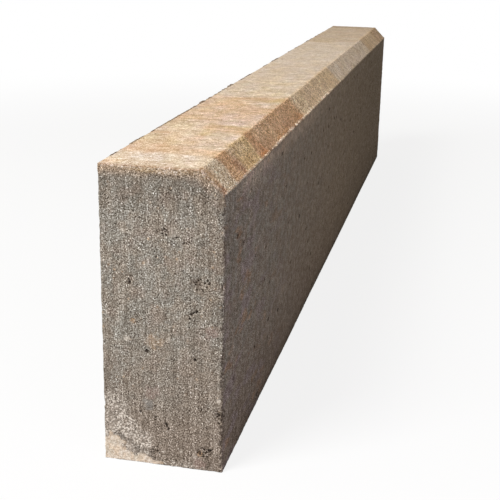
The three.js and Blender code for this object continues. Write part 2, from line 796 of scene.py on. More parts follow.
    def crumble(self, points: Array) -> Array:
        """How much of each arris has crumbled away.

        Args:
            points: places, one in each row.

        Returns:
            A depth for each point.
        """
        noise = self.noise
        depth = self.shape.depths(points)
        body = ease(depth.facing, 2, 8)
        chip = noise.hollows(points, self.chips) * ease(depth.arris, 3.0, 0.6)
        crumb = np.clip(noise.layers(points, self.crumbled), 0, None) * ease(depth.arris, 1.8, 0.4)
        footway = ease(depth.below(Side.FOOTWAY), 4, 2)
        parted = ease(depth.ends, 2, 0.8)
        worn = (0.06 + 0.49 * body) * chip + (0.3 + 0.7 * np.maximum(body, parted)) * crumb
        worn = worn * (1 - 0.5 * footway) + 0.3 * self.teeth(points)
        above_bed = 0.15 + 0.85 * ease(depth.below(Side.BED), 1, 4)
        worn = worn * ease(self.lip_gap(points), 1.2, 3) * above_bed
        ragged = noise.layers(points, self.corner_ripples, 0.6)
        return worn + self.corner_wear(points) * ragged * ease(self.lip_gap(points), 2.2, 0.4)

    def shift(self, points: Array, outward: Array) -> Array:
        """Moves the rounded stone's points by all the wear.

        Args:
            points: points on the rounded surface.
            outward: the outward directions there.

        Returns:
            The worn stone's points.
        """
        height = self.roughness(points) - self.hollow(points) - self.crumble(points)
        worn = points + outward * height[:, None]
        waver = self.noise.layers(points * (1, 0, 0), self.lip_waver, 1.0)
        out = self.lip_out * ease(points[:, 0], -500, -380) * waver
        worn[:, 1] -= self.lip(points) * out
        worn[:, 2] += self.lip(points) * 0.8 * self.lip_width
        worn += self.crumbs(points)[:, None] * self.crumb_out * np.array([0, 0.8, 0.7])
        ragged = self.noise.layers(points, self.bite_ripples, 1.0)
        for *centre, radius in self.bites:
            away = worn - np.array(centre)
            gap = np.linalg.norm(away, axis=1)
            push = np.clip(radius * ragged - gap, 0, None)
            worn += away / gap[:, None] * push[:, None]
        worn[:, 2] = np.clip(worn[:, 2], 0, None)
        return worn


@dataclass
class Colouring:
    """Colours that change over the stone, and the masks of its stains and smears."""

    shape: KerbShape
    noise: LatticeNoise = field(default_factory=lambda: LatticeNoise(seed=97))
    soft: float = 9.0  # how far a patch fades out
    cloud_size: tuple[float, float, float] = (30, 46, 46)
    stray_ripples: tuple[Ripple, ...] = (Ripple(5.0, 11, 400), Ripple(2.6, 4.5, 450))
    smear_ripples: tuple[Ripple, ...] = (Ripple(2.2, 6, 33), Ripple(2.4, 2.4, 63))
    smear_height: float = 20.0  # how far up the corner the smear goes
    ground: tuple[Tint, ...] = (Tint.PEACH, Tint.BEIGE, Tint.TAN, Tint.ROSE, Tint.STRAW, Tint.CREAM)
    top_patches: tuple[Patch, ...] = (
        Patch(Tint.CREAM, -500, -462, 0.75),
        Patch(Tint.AMBER, -500, -490, 0.5, 27, 40),
        Patch(Tint.AMBER, -462, -444, 0.45, -25, -2),
        Patch(Tint.CREAM, -440, -384, 0.5, -24, -2),
        Patch(Tint.CREAM, -412, -384, 0.6, -18, -3),
        Patch(Tint.STRAW, -437, -390, 0.15, 22, 40),
        Patch(Tint.CREAM, -437, -340, 0.35, 8, 40),
        Patch(Tint.BROWN, -398, -391, 0.5, 20, 40),
        Patch(Tint.AMBER, -376, -366, 0.45, -2, 12),
        Patch(Tint.ROSE, -355, -308, 0.8, -25, 6),
        Patch(Tint.MILK, -344, -335, 0.6, -13, -4),
        Patch(Tint.AMBER, -300, -258, 0.4, -25, 40),
        Patch(Tint.AMBER, -240, -216, 0.5, -10, 40),
        Patch(Tint.BEIGE, -200, 200, 0.5),
        Patch(Tint.CREAM, -225, 262, 0.65),
        Patch(Tint.STRAW, -222, -125, 0.2),
        Patch(Tint.CREAM, 20, 262, 0.6),
        Patch(Tint.ASH, -145, -120, 0.4, -12, 14),
        Patch(Tint.STRAW, 250, 300, 0.6, 8, 34),
        Patch(Tint.BEIGE, 262, 480, 0.6),
        Patch(Tint.HUSK, 474, 500, 0.9),
    )
    chamfer_patches: tuple[Patch, ...] = (
        Patch(Tint.TAN, -500, 500, 0.65),
        Patch(Tint.AMBER, -500, -490, 0.6),
        Patch(Tint.ASH, -490, -466, 0.75),
        Patch(Tint.UMBER, -500, -491, 0.75, 185, 190),
        Patch(Tint.BROWN, -466, -438, 0.8),
        Patch(Tint.UMBER, -446, -438, 0.8, 185, 194),
        Patch(Tint.STRAW, -438, -424, 0.8, 185, 190),
        Patch(Tint.OLIVE, -434, -392, 0.8),
        Patch(Tint.MILK, -436, -405, 0.2, 194, 200),
        Patch(Tint.UMBER, -442, -428, 0.2, 188, 197),
        Patch(Tint.BROWN, -392, -372, 1.0),
        Patch(Tint.UMBER, -392, -372, 0.1),
        Patch(Tint.BROWN, -372, -330, 0.5),
        Patch(Tint.RUST, -388, -366, 0.95, 185, 188),
        Patch(Tint.RUST, -330, -288, 0.9, 185, 187.5),
        Patch(Tint.BROWN, -326, -222, 0.75),
        Patch(Tint.UMBER, -440, -372, 0.25, 185, 190),
        Patch(Tint.UMBER, -372, -336, 0.35, 185, 193),
        Patch(Tint.UMBER, -290, -240, 0.25, 185, 193),
        Patch(Tint.RUST, -250, -222, 0.5, 184, 188),
        Patch(Tint.LICHEN, -212, -176, 0.4),
        Patch(Tint.OLIVE, -60, 60, 0.4),
        Patch(Tint.SAND, -215, 420, 0.65),
        Patch(Tint.MILK, 0, 300, 0.6),
    )
    flecks: tuple[Fleck, ...] = (
        Fleck(Tint.LOAM, -38.5, 181.5, 3.4, 0.5),
        Fleck(Tint.LOAM, -33, 150, 13.0, 0.2),
        Fleck(Tint.LOAM, 36, 60, 12.0, 0.25),
        Fleck(Tint.CHALK, 23.8, 87.5, 1.9, 0.9),
        Fleck(Tint.CHALK, -4.7, 89.6, 1.4),
        Fleck(Tint.CHALK, 28.2, 100, 1.5, 0.6),
        Fleck(Tint.AMBER, 18.9, 99.9, 1.6, 0.7),
        Fleck(Tint.BLUSH, -31.9, 97.1, 4.0, 0.35),
        Fleck(Tint.AMBER, 5.2, 87.6, 5.0, 0.3),
        Fleck(Tint.CHALK, -7.7, 159.8, 2.6, 0.4),
        Fleck(Tint.PEBBLE, 9.4, 43.1, 3.6, 1.0),
        Fleck(Tint.BLUSH, 7, 51.9, 4.5, 0.3),
        Fleck(Tint.CHALK, -37.2, 51.2, 1.7, 0.9),
        Fleck(Tint.AMBER, -25.1, 11.5, 1.8, 0.7),
        Fleck(Tint.CHALK, -12.1, 11.8, 1.2, 0.7),
        Fleck(Tint.CHALK, -21.8, 9.1, 1.2, 0.7),
        Fleck(Tint.BLUSH, -24, 4, 4.0, 0.35),
    )

    def facing_tint(self, points: Array) -> Array:
        """The facing's own colour at each point, before its streaks and grains.

        Args:
            points: places, one in each row.

        Returns:
            A linear colour for each point.
        """
        tints = np.tile(self.ground[0].value, (len(points), 1))
        ragged = 0.4 * self.noise.wave(points + 90, (7, 14, 14))
        for number, ground in enumerate(self.ground[1:]):
            drift = self.noise.wave(points + 200 * number, self.cloud_size) + ragged
            tints = lean_towards(tints, 0.75 * ease(drift, 0.1, 0.8), ground)
        depth = self.shape.depths(points)
        for side, patches in ((Side.TOP, self.top_patches), (Side.CHAMFER, self.chamfer_patches)):
            on_side = ease(depth.below(side), 1.6, 0.5)
            for patch in patches:
                share = self.patch_share(points, side, patch) * on_side
                tints = lean_towards(tints, patch.strength * share, patch.tint)
        tints = lean_towards(tints, ease(depth.ends, 2.2, 0.8), Tint.HUSK)
        return lean_towards(tints, 0.25 * ease(np.maximum(depth.ends, depth.facing), 1.3, 0.5), Tint.UMBER)

    def flecks_at(self, points: Array) -> tuple[Array, Array]:
        """The flecks of the near end.

        Args:
            points: places, one in each row.

        Returns:
            How much of a fleck shows at each point, and the colour of the nearest one.
        """
        places = np.array([(fleck.across, fleck.z) for fleck in self.flecks])
        radii = np.array([fleck.radius for fleck in self.flecks])
        gaps = np.linalg.norm(points[:, None, 1:] - places, axis=2) / radii
        nearest = np.argmin(gaps, axis=1)
        gap = gaps[np.arange(len(points)), nearest] + 0.45 * self.noise.wave(points + 700, 1.6)
        strength = np.array([fleck.strength for fleck in self.flecks])[nearest]
        tint = np.array([fleck.tint.value for fleck in self.flecks])[nearest]
        on_end = ease(self.shape.from_near_end(points), 3, 1.5)
        return strength * ease(gap, 1.25, 0.8) * on_end, tint

    def coarseness(self, points: Array) -> Array:
        """How open the facing's grain is: least on the pressed top, most on the chamfer.

        Args:
            points: places, one in each row.

        Returns:
            Numbers from 0 to 1.
        """
        depth = self.shape.depths(points)
        along = 1 - 0.45 * ease(points[:, 0], -350, 100)
        chamfer = ease(depth.below(Side.CHAMFER), 1.5, 0.5) * along
        openness = np.maximum(0.12 + 0.88 * chamfer, 0.4 * ease(depth.ends, 2.2, 0.8))
        return openness * (1 - ease(self.residue(points), 0.2, 0.5))

    def stain(self, points: Array) -> Array:
        """Where the facing mix has stained the body mix below it on the ends and the road side.

        Args:
            points: places, one in each row.

        Returns:
            Numbers from 0 to 1.
        """
        depth = self.shape.depths(points)
        reach = depth.facing + 1.5 * self.noise.wave(points + 800, 7)
        across = 0.2 + 0.8 * ease(points[:, 1], -38, -22)
        on_end = ease(reach, 9, 0) * ease(depth.ends, 2, 0.8) * across
        streaky = self.noise.wave(points * (1, 0.3, 0.3), 8)
        on_road = ease(depth.facing + 2 * streaky, 16, 0) * ease(depth.below(Side.ROAD), 1.5, 0.5)
        along = ease(points[:, 0], -485, -425) * ease(points[:, 0], 0, -260)
        return np.maximum(on_end, 0.36 * on_road * along * (1 + 0.4 * streaky))

    def patch_share(self, points: Array, side: Side, patch: Patch) -> Array:
        """How much of a patch would show at each point, if all of them were on its face.

        Args:
            points: places, one in each row.
            side: the patch's face.
            patch: the patch.

        Returns:
            Numbers from 0 to 1.
        """
        stray = self.noise.layers(points, self.stray_ripples)
        x = points[:, 0] + stray
        other = points[:, 1 if side is Side.TOP else 2] + stray * 0.5
        share = 1.0
        for place, low, high in ((x, patch.start, patch.end), (other, patch.low, patch.high)):
            soft = min(self.soft, (high - low) / 2)
            share = share * ease(place, low - soft / 2, low + soft / 2)
            share = share * ease(place, high + soft / 2, high - soft / 2)
        return share

    def corner_places(self, points: Array) -> tuple[Array, Array, Array]:
        """Places as the smear at the foot of the near end's footway corner takes them.

        Args:
            points: places, one in each row.

        Returns:
            How far each point is in from that corner, how far up, and a ragged stray.
        """
        from_corner = self.shape.thickness / 2 - points[:, 1]
        return from_corner, points[:, 2], self.noise.layers(points, self.smear_ripples)

    def beyond_smear(self, across: Array, up: Array) -> Array:
        """How far a place lies outside the smear's sloping edge, from how far in and how far up it is."""
        edge = up + np.clip(across - 4, 0, 16) * 0.95 + np.clip(across - 20, 0, None) * 0.25
        return edge - self.smear_height

    def residue(self, points: Array) -> Array:
        """Where a smear of pale facing mix covers the foot of that corner.

        Args:
            points: places, one in each row.

        Returns:
            Numbers from 0 to 1.
        """
        across, up, ragged = self.corner_places(points)
        from_end = self.shape.from_near_end(points)
        wedge = ease(self.beyond_smear(across, up) + 0.2 * from_end + 1.4 * ragged, 3, -2)
        foot = ease(up + 0.5 * ragged, 3.6, 1.8) * ease(across + 2 * ragged, 46, 30)
        return np.maximum(wedge, foot) * ease(from_end + 3 * ragged, 100, 60)

    def damp(self, points: Array) -> Array:
        """Where a dark damp-looking band follows the edge of that smear.

        Args:
            points: places, one in each row.

        Returns:
            Numbers from 0 to 1.
        """
        across, up, ragged = self.corner_places(points)
        beyond = self.beyond_smear(across, up) + 0.8 * ragged
        band = ease(beyond, 1, 3) * ease(beyond, 9, 5) * ease(across, 5, 9) * ease(across, 42, 30)
        cloud = ease(self.noise.wave(points + 233, 5), -0.6, 0.3)
        return band * cloud * ease(self.shape.from_near_end(points), 40, 20)

    def whitening(self, points: Array) -> Array:
        """Where pale grains of that smear thin out around it.

        Args:
            points: places, one in each row.

        Returns:
            Numbers from 0 to 1.
        """
        across, up, ragged = self.corner_places(points)
        cloud = self.noise.wave(points + 133, 8)
        close = ease(self.beyond_smear(across, up) + 2 * ragged + 10 * cloud, 36, 14) * ease(across, 42, 26)
        foot = 0.8 * ease(up + ragged, 5, 1.5) * ease(across, 88, 60)
        faint = 0.3 * ease(np.hypot(across, up), 75, 40)
        from_end = self.shape.from_near_end(points) + 2 * ragged
        return np.maximum(np.maximum(close, foot), faint) * ease(from_end, 110, 60)


@dataclass(frozen=True)
class Cloud:
    """Soft blots, drawn where smooth noise goes from low to high."""

    size: float  # in millimetres
    low: float
    high: float
    start: float = 0.0
    end: float = 1.0
    detail: float = 2.0
    spread: tuple[float, float, float] | None = None  # how far the blots are drawn out along each axis


class ShaderTree:
    """Adds nodes to one shader tree and joins them."""

    WARM_IN_RED = 0.09
    GREEN_IN_GREEN = 0.1
    WARM_IN_BLUE = -0.36

    def __init__(self, tree: bpy.types.NodeTree) -> None:
        """Keeps the tree.

        Args:
            tree: the tree to add to.
        """
        self.tree = tree

    def add(self, kind: str, **settings: object) -> bpy.types.Node:
        """Adds a node.

        Args:
            kind: the node's type.
            settings: its properties, by name.

        Returns:
            The node.
        """
        node = self.tree.nodes.new(kind)
        for name, value in settings.items():
            setattr(node, name, value)
        return node

    def feed(self, socket: Socket, value: object) -> None:
        """Joins a socket to another, or sets it to a value.

        Args:
            socket: the socket.
            value: the other socket, a number or a colour.
        """
        if isinstance(value, bpy.types.NodeSocket):
            self.tree.links.new(value, socket)
        elif isinstance(value, tuple) and socket.type == "RGBA":
            socket.default_value = (*value, 1.0)
        else:
            socket.default_value = value

    def math(self, operation: str, *values: object) -> Socket:
        """Works out one number from others.

        Args:
            operation: what is done with them.
            values: the numbers.

        Returns:
            The outcome.
        """
        node = self.add("ShaderNodeMath", operation=operation)
        for socket, value in zip(node.inputs, values):
            self.feed(socket, value)
        return node.outputs[0]

    def total(self, operation: str, *values: object) -> Socket:
        """Works out one number from many, two at a time.

        Args:
            operation: what is done with each two.
            values: the numbers.

        Returns:
            The outcome.
        """
        result = values[0]
        for value in values[1:]:
            result = self.math(operation, result, value)
        return result

    def times(self, *values: object) -> Socket:
        """Multiplies numbers."""
        return self.total("MULTIPLY", *values)

    def times_plus(self, value: object, factor: object, more: object) -> Socket:
        """Multiplies a number and adds another."""
        return self.math("MULTIPLY_ADD", value, factor, more)

    def vector(self, operation: str, first: object, second: object) -> Socket:
        """Works out a place or a colour from two others.

        Args:
            operation: what is done with them.
            first: the first.
            second: the second.

        Returns:
            The outcome.
        """
        node = self.add("ShaderNodeVectorMath", operation=operation)
        self.feed(node.inputs[0], first)
        self.feed(node.inputs[1], second)
        return node.outputs[0]

    def axes(self, place: Socket) -> dict[str, Socket]:
        """Takes a place apart.

        Args:
            place: the place.

        Returns:
            Where it lies along X, Y and Z, by those names.
        """
        node = self.add("ShaderNodeSeparateXYZ")
        self.feed(node.inputs[0], place)
        return {socket.name: socket for socket in node.outputs}

    def stretch(self, place: Socket, sizes: tuple[float, float, float]) -> Socket:
        """Scales a place by one over each size, so that what is drawn there is that large."""
        return self.vector("DIVIDE", place, sizes)

    def noise(self, place: Socket, size: object, detail: float = 2.0, rough: float = 0.5) -> Socket:
        """Smooth noise around 0.5.

        Args:
            place: where it is read.
            size: the size of its blobs.
            detail: how many finer layers it has.
            rough: how strong those layers are.

        Returns:
            The noise's value.
        """
        node = self.add("ShaderNodeTexNoise")
        self.feed(node.inputs["Vector"], place)
        self.feed(node.inputs["Scale"], self.one_over(size))
        node.inputs["Detail"].default_value = detail
        node.inputs["Roughness"].default_value = rough
        return node.outputs["Fac"]

    def one_over(self, size: object) -> object:
        """One over a size.

        Args:
            size: a number or a socket.

        Returns:
            The same kind of value.
        """
        if isinstance(size, bpy.types.NodeSocket):
            return self.math("DIVIDE", 1.0, size)
        return 1.0 / size

    def between(
        self, value: Socket, low: object, high: object, start: object = 0.0, end: object = 1.0
    ) -> Socket:
        """Eases from one number to another as a value rises or falls.

        Args:
            value: the value.
            low: where it gives the first number.
            high: where it gives the second number.
            start: the first number.
            end: the second number.

        Returns:
            The eased number.
        """
        node = self.add("ShaderNodeMapRange", interpolation_type="SMOOTHSTEP")
        for socket, given in zip(node.inputs, (value, low, high, start, end)):
            self.feed(socket, given)
        return node.outputs["Result"]

    def blend(self, amount: object, first: object, second: object, mode: str = "MIX") -> Socket:
        """Blends two colours.

        Args:
            amount: how much of the second shows.
            first: the first colour.
            second: the second colour.
            mode: the way they blend.

        Returns:
            The blended colour.
        """
        node = self.add("ShaderNodeMix", data_type="RGBA", blend_type=mode)
        self.feed(node.inputs["Factor"], amount)
        self.feed(node.inputs[6], first)
        self.feed(node.inputs[7], second)
        return node.outputs[2]

    def mix(self, amount: object, first: object, second: object) -> Socket:
        """Blends two numbers.

        Args:
            amount: how much of the second counts.
            first: the first number.
            second: the second number.

        Returns:
            The blended number.
        """
        node = self.add("ShaderNodeMix", data_type="FLOAT")
        for place, value in zip((0, 2, 3), (amount, first, second)):
            self.feed(node.inputs[place], value)
        return node.outputs[0]

    def sway(self, value: Socket, amount: object) -> Socket:
        """Turns a value around 0.5 into a factor around 1, the same way up as down."""
        return self.math("EXPONENT", self.times(self.math("SUBTRACT", value, 0.5), amount))

    def factors(self, red: Socket, green: Socket, blue: Socket) -> Socket:
        """Puts one factor for each channel together.

        Args:
            red: the factor of red.
            green: the factor of green.
            blue: the factor of blue.

        Returns:
            The three as one colour.
        """
        node = self.add("ShaderNodeCombineXYZ")
        for socket, factor in zip(node.inputs, (red, green, blue)):
            self.feed(socket, factor)
        return node.outputs[0]

    def grain(self, colour: object, brightness: Socket, lean: Colour) -> Socket:
        """Multiplies a colour by a brightness that works a little more on its weaker channels.

        Args:
            colour: the colour.
            brightness: the factor.
            lean: its power in red, green and blue, so that dark grains look as grey as pale ones.

        Returns:
            The colour with the grain on it.
        """
        powers = [self.math("POWER", brightness, power) for power in lean]
        return self.vector("MULTIPLY", colour, self.factors(*powers))

    def tone(self, colour: object, warm: Socket, green: Socket) -> Socket:
        """Shifts a colour's hue and leaves its brightness.

        Args:
            colour: the colour.
            warm: a value around 0.5 that makes it warmer where it is higher.
            green: a value around 0.5 that makes it greener where it is higher.

        Returns:
            The shifted colour.
        """
        shares = ((warm, self.WARM_IN_RED), (green, self.GREEN_IN_GREEN), (warm, self.WARM_IN_BLUE))
        swayed = [self.sway(value, amount) for value, amount in shares]
        return self.vector("MULTIPLY", colour, self.factors(*swayed))

    def attribute(self, name: str, colour: bool = False) -> Socket:
        """Reads what the mesh holds under a name."""
        node = self.add("ShaderNodeAttribute", attribute_name=name)
        return node.outputs["Color" if colour else "Fac"]

    def group(self, group: bpy.types.NodeTree, **values: object) -> bpy.types.Node:
        """Places a node group.

        Args:
            group: the group.
            values: its inputs, by name.

        Returns:
            The group's node.
        """
        node = self.add("ShaderNodeGroup", node_tree=group)
        for name, value in values.items():
            self.feed(node.inputs[name], value)
        return node


def new_group(
    name: str, inputs: dict[str, str], outputs: dict[str, str]
) -> tuple[ShaderTree, dict[str, Socket], bpy.types.Node]:
    """Makes an empty shader node group.

    Args:
        name: the group's name.
        inputs: its inputs, each with the kind of its socket.
        outputs: its outputs, each with the kind of its socket.

    Returns:
        Its tree, its inputs' sockets by name and its output node.
    """
    group = bpy.data.node_groups.new(name, "ShaderNodeTree")
    for kinds, way in ((inputs, "INPUT"), (outputs, "OUTPUT")):
        for socket, kind in kinds.items():
            group.interface.new_socket(socket, in_out=way, socket_type=f"NodeSocket{kind}")
    tree = ShaderTree(group)
    given = tree.add("NodeGroupInput")
    sockets = {socket.name: socket for socket in given.outputs if socket.name}
    return tree, sockets, tree.add("NodeGroupOutput")


class Effects:
    """The shader node groups that the finishes share, each built once."""

    def __init__(self) -> None:
        """Builds the groups."""
        self.sand = self._sand()
        self.specks = self._specks()
        self.streaks = self._streaks()

    @staticmethod
    def _cells(tree: ShaderTree, place: Socket, size: Socket) -> tuple[Socket, bpy.types.NodeOutputs]:
        """Splits space into cells, each with its own random numbers.

        Args:
            tree: the tree to add to.
            place: where they are read.
            size: how far apart their middles lie.

        Returns:
            How far a place lies from the nearest middle, in cells, and the numbers of its cell.
        """
        cells = tree.add("ShaderNodeTexVoronoi", feature="F1")
        tree.feed(cells.inputs["Vector"], place)
        tree.feed(cells.inputs["Scale"], tree.one_over(size))
        parts = tree.add("ShaderNodeSeparateColor")
        tree.feed(parts.inputs[0], cells.outputs["Color"])
        return cells.outputs["Distance"], parts.outputs

    @classmethod
    def _sand(cls) -> bpy.types.NodeTree:
        """Packed sand grains: high in their middles, low in their gaps, each its own shade.

        Returns:
            The group.
        """
        tree, given, out = new_group(
            "sand grains", {"Place": "Vector", "Size": "Float"}, {"Height": "Float", "Random": "Float"}
        )
        distance, numbers = cls._cells(tree, given["Place"], given["Size"])
        middle = tree.math("SUBTRACT", 1.0, distance)
        tree.feed(out.inputs["Height"], tree.times(middle, given["Size"]))
        tree.feed(out.inputs["Random"], numbers[0])
        return tree.tree

    @classmethod
    def _specks(cls) -> bpy.types.NodeTree:
        """Single grains strewn apart: a mask, and a random number for each grain.

        Returns:
            The group.
        """
        tree, given, out = new_group(
            "specks",
            {"Place": "Vector", "Spacing": "Float", "Share": "Float", "Radius": "Float"},
            {"Mask": "Float", "Random": "Float"},
        )
        distance, numbers = cls._cells(tree, given["Place"], given["Spacing"])
        wobble = tree.noise(given["Place"], tree.times(given["Radius"], 1.2), detail=1)
        radius = tree.math("DIVIDE", given["Radius"], given["Spacing"])
        rim = tree.times(tree.math("ADD", wobble, 0.5), radius)
        inside = tree.between(distance, rim, tree.times(rim, 0.6))
        chosen = tree.math("LESS_THAN", numbers[0], given["Share"])
        tree.feed(out.inputs["Mask"], tree.times(inside, chosen))
        tree.feed(out.inputs["Random"], numbers[1])
        return tree.tree

    @staticmethod
    def _streaks() -> bpy.types.NodeTree:
        """Fine lines drawn one way by the mould, around 0.5.

        Returns:
            The group.
        """
        tree, given, out = new_group("streaks", {"Place": "Vector", "Width": "Float"}, {"Line": "Float"})
        broad = tree.noise(given["Place"], tree.times(given["Width"], 2.5), detail=0)
        fine = tree.noise(given["Place"], given["Width"], detail=0)
        tree.feed(out.inputs["Line"], tree.mix(0.5, fine, broad))
        return tree.tree


@dataclass(frozen=True)
class Painter:
    """Draws with the shared groups at one place of one material."""

    tree: ShaderTree
    effects: Effects
    place: Socket  # the place on the stone, in millimetres

    def streaks(self, sizes: tuple[float, float, float], width: float) -> Socket:
        """Fine lines, drawn out along the axis with the largest size."""
        place = self.tree.stretch(self.place, sizes)
        return self.tree.group(self.effects.streaks, Place=place, Width=width).outputs["Line"]

    def sand(self, size: float) -> bpy.types.NodeOutputs:
        """Packed sand grains of one size."""
        return self.tree.group(self.effects.sand, Place=self.place, Size=size).outputs

    def specks(self, spacing: float, share: object, radius: object) -> bpy.types.NodeOutputs:
        """Single grains strewn apart, at a share of the places that lie so far apart."""
        values = {"Place": self.place, "Spacing": spacing, "Share": share, "Radius": radius}
        return self.tree.group(self.effects.specks, **values).outputs

    def cloud(self, cloud: Cloud) -> Socket:
        """Draws soft blots.

        Args:
            cloud: the blots.

        Returns:
            A number that goes from the cloud's start to its end.
        """
        place = self.tree.stretch(self.place, cloud.spread) if cloud.spread else self.place
        noise = self.tree.noise(place, cloud.size, cloud.detail)
        return self.tree.between(noise, cloud.low, cloud.high, cloud.start, cloud.end)

    def stretched(self, sizes: tuple[float, float, float]) -> "Painter":
        """The same painter on a place that is drawn out along each axis."""
        return Painter(self.tree, self.effects, self.tree.stretch(self.place, sizes))


@dataclass(frozen=True)
class Coat:
    """What a finish gives at each place: its colour, its height in millimetres and its roughness."""

    colour: Socket
    height: Socket
    roughness: Socket


@dataclass(frozen=True)
class BodyMix:
    """Grey-brown vibrated concrete: sand grains, dark pores, a few pale grains and faint drag lines.

    Its grain stands out most beside the ends, where the stone was parted from the mould. Painted light and
    shade are drawn into it too: darker towards the foot, on the road side, on the near end and towards the
    far end.
    """

    clay: Colour = srgb(156, 145, 131)
    slate: Colour = srgb(151, 145, 134)
    ash: Colour = srgb(152, 145, 134)
    blush: Colour = srgb(163, 146, 133)
    earth: Colour = srgb(155, 141, 127)
    loam: Colour = srgb(165, 148, 126)
    stones: Colour = srgb(186, 162, 136)
    dusk: Colour = srgb(158, 144, 141)
    brick: Colour = srgb(172, 144, 120)
    stained: Colour = srgb(196, 171, 145)
    lean: Colour = (1.0, 1.08, 1.17)
    coarse_grain: float = 1.0
    sand_grain: float = 0.8
    fine_grain: float = 0.6
    line_width: float = 0.7
    blot_size: float = 3.2
    dark_spacing: float = 1.6
    drawn_out: Numbers = (3, 1, 1)  # how dusky and rusty blots lie along the stone
    holes: Numbers = (6.0, 0.2, 1.3)
    pale_grains: Numbers = (2.0, 0.12, 0.7)
    large_grains: Numbers = (4.5, 0.15, 1.3)
    clusters: Cloud = Cloud(10.0, 0.4, 0.62, 0.84, 1.18, detail=3)
    clay_clouds: Cloud = Cloud(9.0, 0.38, 0.62)
    ash_clouds: Cloud = Cloud(13.0, 0.42, 0.66, 0.0, 0.6, spread=(1, 1, 1.5))
    blush_clouds: Cloud = Cloud(11.0, 0.5, 0.68, 0.0, 0.35, spread=(1.2, 1, 1))
    parting: Numbers = (250.0, 490.0, 0.5, 1.0)  # how the grain grows along X towards the ends
    before_end: Numbers = (499.5, 498.5)  # along X, from 0 on the ends to 1 away from them
    on_flank: Numbers = (38.0, 39.6, 0.0, 0.8)  # along Y, where the long faces are
    # along X, from the near end to where the painted contact shade at the foot of the long faces is full
    past_near_end: Numbers = (-492.0, -430.0)
    footway_painted_light: Numbers = (-40.0, 35.0, 0.925, 1.035)  # painted light along Y: darker on the road side, lighter on the footway side
    # painted light along X: the near end a little darker than the faces beyond it, then painted falloff
    # darker towards the far end
    near_painted_light: Numbers = (-490.0, -400.0, 1.03, 1.09)
    far_painted_falloff: Numbers = (-150.0, 400.0, 1.0, 0.83)
    loam_along: Numbers = (-470.0, 100.0, 0.0, 0.8)
    dusk_along: Numbers = (-470.0, -250.0, 1.0, 0.1)

    def coat(self, painter: Painter, damage: Socket, stain: Socket) -> Coat:
        """Draws the body mix.

        Args:
            painter: draws in the material.
            damage: where pits open more pores around them, from 0 to 1.
            stain: where the facing mix has stained it, from 0 to 1.

        Returns:
            The body mix's colour, height and roughness.
        """
        tree, place = painter.tree, painter.place
        axes = tree.axes(place)
        parted = tree.between(tree.math("ABSOLUTE", axes["X"]), *self.parting)
        lively = tree.times(parted, painter.cloud(self.clusters))
        coarse = painter.sand(self.coarse_grain)["Height"]
        grain = tree.noise(place, self.sand_grain, detail=0)
        fine = tree.noise(tree.stretch(place, (1, 1, 1.6)), self.fine_grain, detail=0)
        lines = painter.streaks((1, 1, 24), self.line_width)
        off_end = tree.between(tree.math("ABSOLUTE", axes["X"]), *self.before_end)
        flank = tree.times(tree.between(tree.math("ABSOLUTE", axes["Y"]), *self.on_flank), off_end)
        # where the painted contact shade at the foot is strongest: on the long faces past the near end
        foot = tree.times(flank, tree.between(axes["X"], *self.past_near_end))
        blots = tree.noise(tree.stretch(place, (1.5, 1, 1)), self.blot_size, detail=0)
        holes = painter.stretched((3, 1, 1.5)).specks(*self.holes)["Mask"]
        pale = painter.specks(*self.pale_grains)["Mask"]
        share, radius = tree.mix(damage, 0.45, 0.86), tree.mix(damage, 0.62, 0.9)
        dark = painter.specks(self.dark_spacing, share, radius)["Mask"]
        pores = tree.times(dark, tree.times_plus(damage, 0.8, lively))
        light = tree.times(
            tree.sway(grain, tree.times(lively, 2.5)),
            tree.sway(fine, tree.times(parted, 1.9)),
            tree.sway(lines, tree.times(parted, 1.3)),
            tree.sway(blots, flank),
            tree.times_plus(tree.times(holes, flank), -0.9, 1.0),
            tree.times_plus(tree.times(pale, lively), 0.35, 1.0),
            tree.math("MAXIMUM", tree.times_plus(pores, -0.55, 1.0), 0.2),
            tree.times_plus(tree.times(stain, flank), 0.85, 1.0),
            # painted light: darker on the road side, lighter on the footway side
            tree.between(axes["Y"], *self.footway_painted_light),
            # painted contact shade: darker towards the foot, most on the long faces, and darker again in
            # the last 14 mm
            tree.between(axes["Z"], 0.0, 70.0, tree.mix(foot, 0.94, 0.75), 1.0),
            tree.between(axes["Z"], 0.0, 14.0, tree.mix(foot, 1.0, 0.48), 1.0),
            tree.between(axes["Z"], 168.0, 184.0, 1.0, tree.mix(flank, 0.86, 1.14)),
            # painted light: the near end a little darker, then painted falloff darker towards the far end
            tree.between(axes["X"], *self.near_painted_light),
            tree.between(axes["X"], *self.far_painted_falloff),
        )
        grains = tree.times(coarse, tree.times(lively, 0.2))
        bumps = tree.total("ADD", grains, tree.times(lines, 0.1), tree.times(pores, -0.15))
        ground = tree.blend(stain, self.ground(painter, axes, flank), self.stained)
        return Coat(tree.grain(ground, light, self.lean), bumps, tree.between(fine, 0.2, 0.8, 0.97, 0.86))

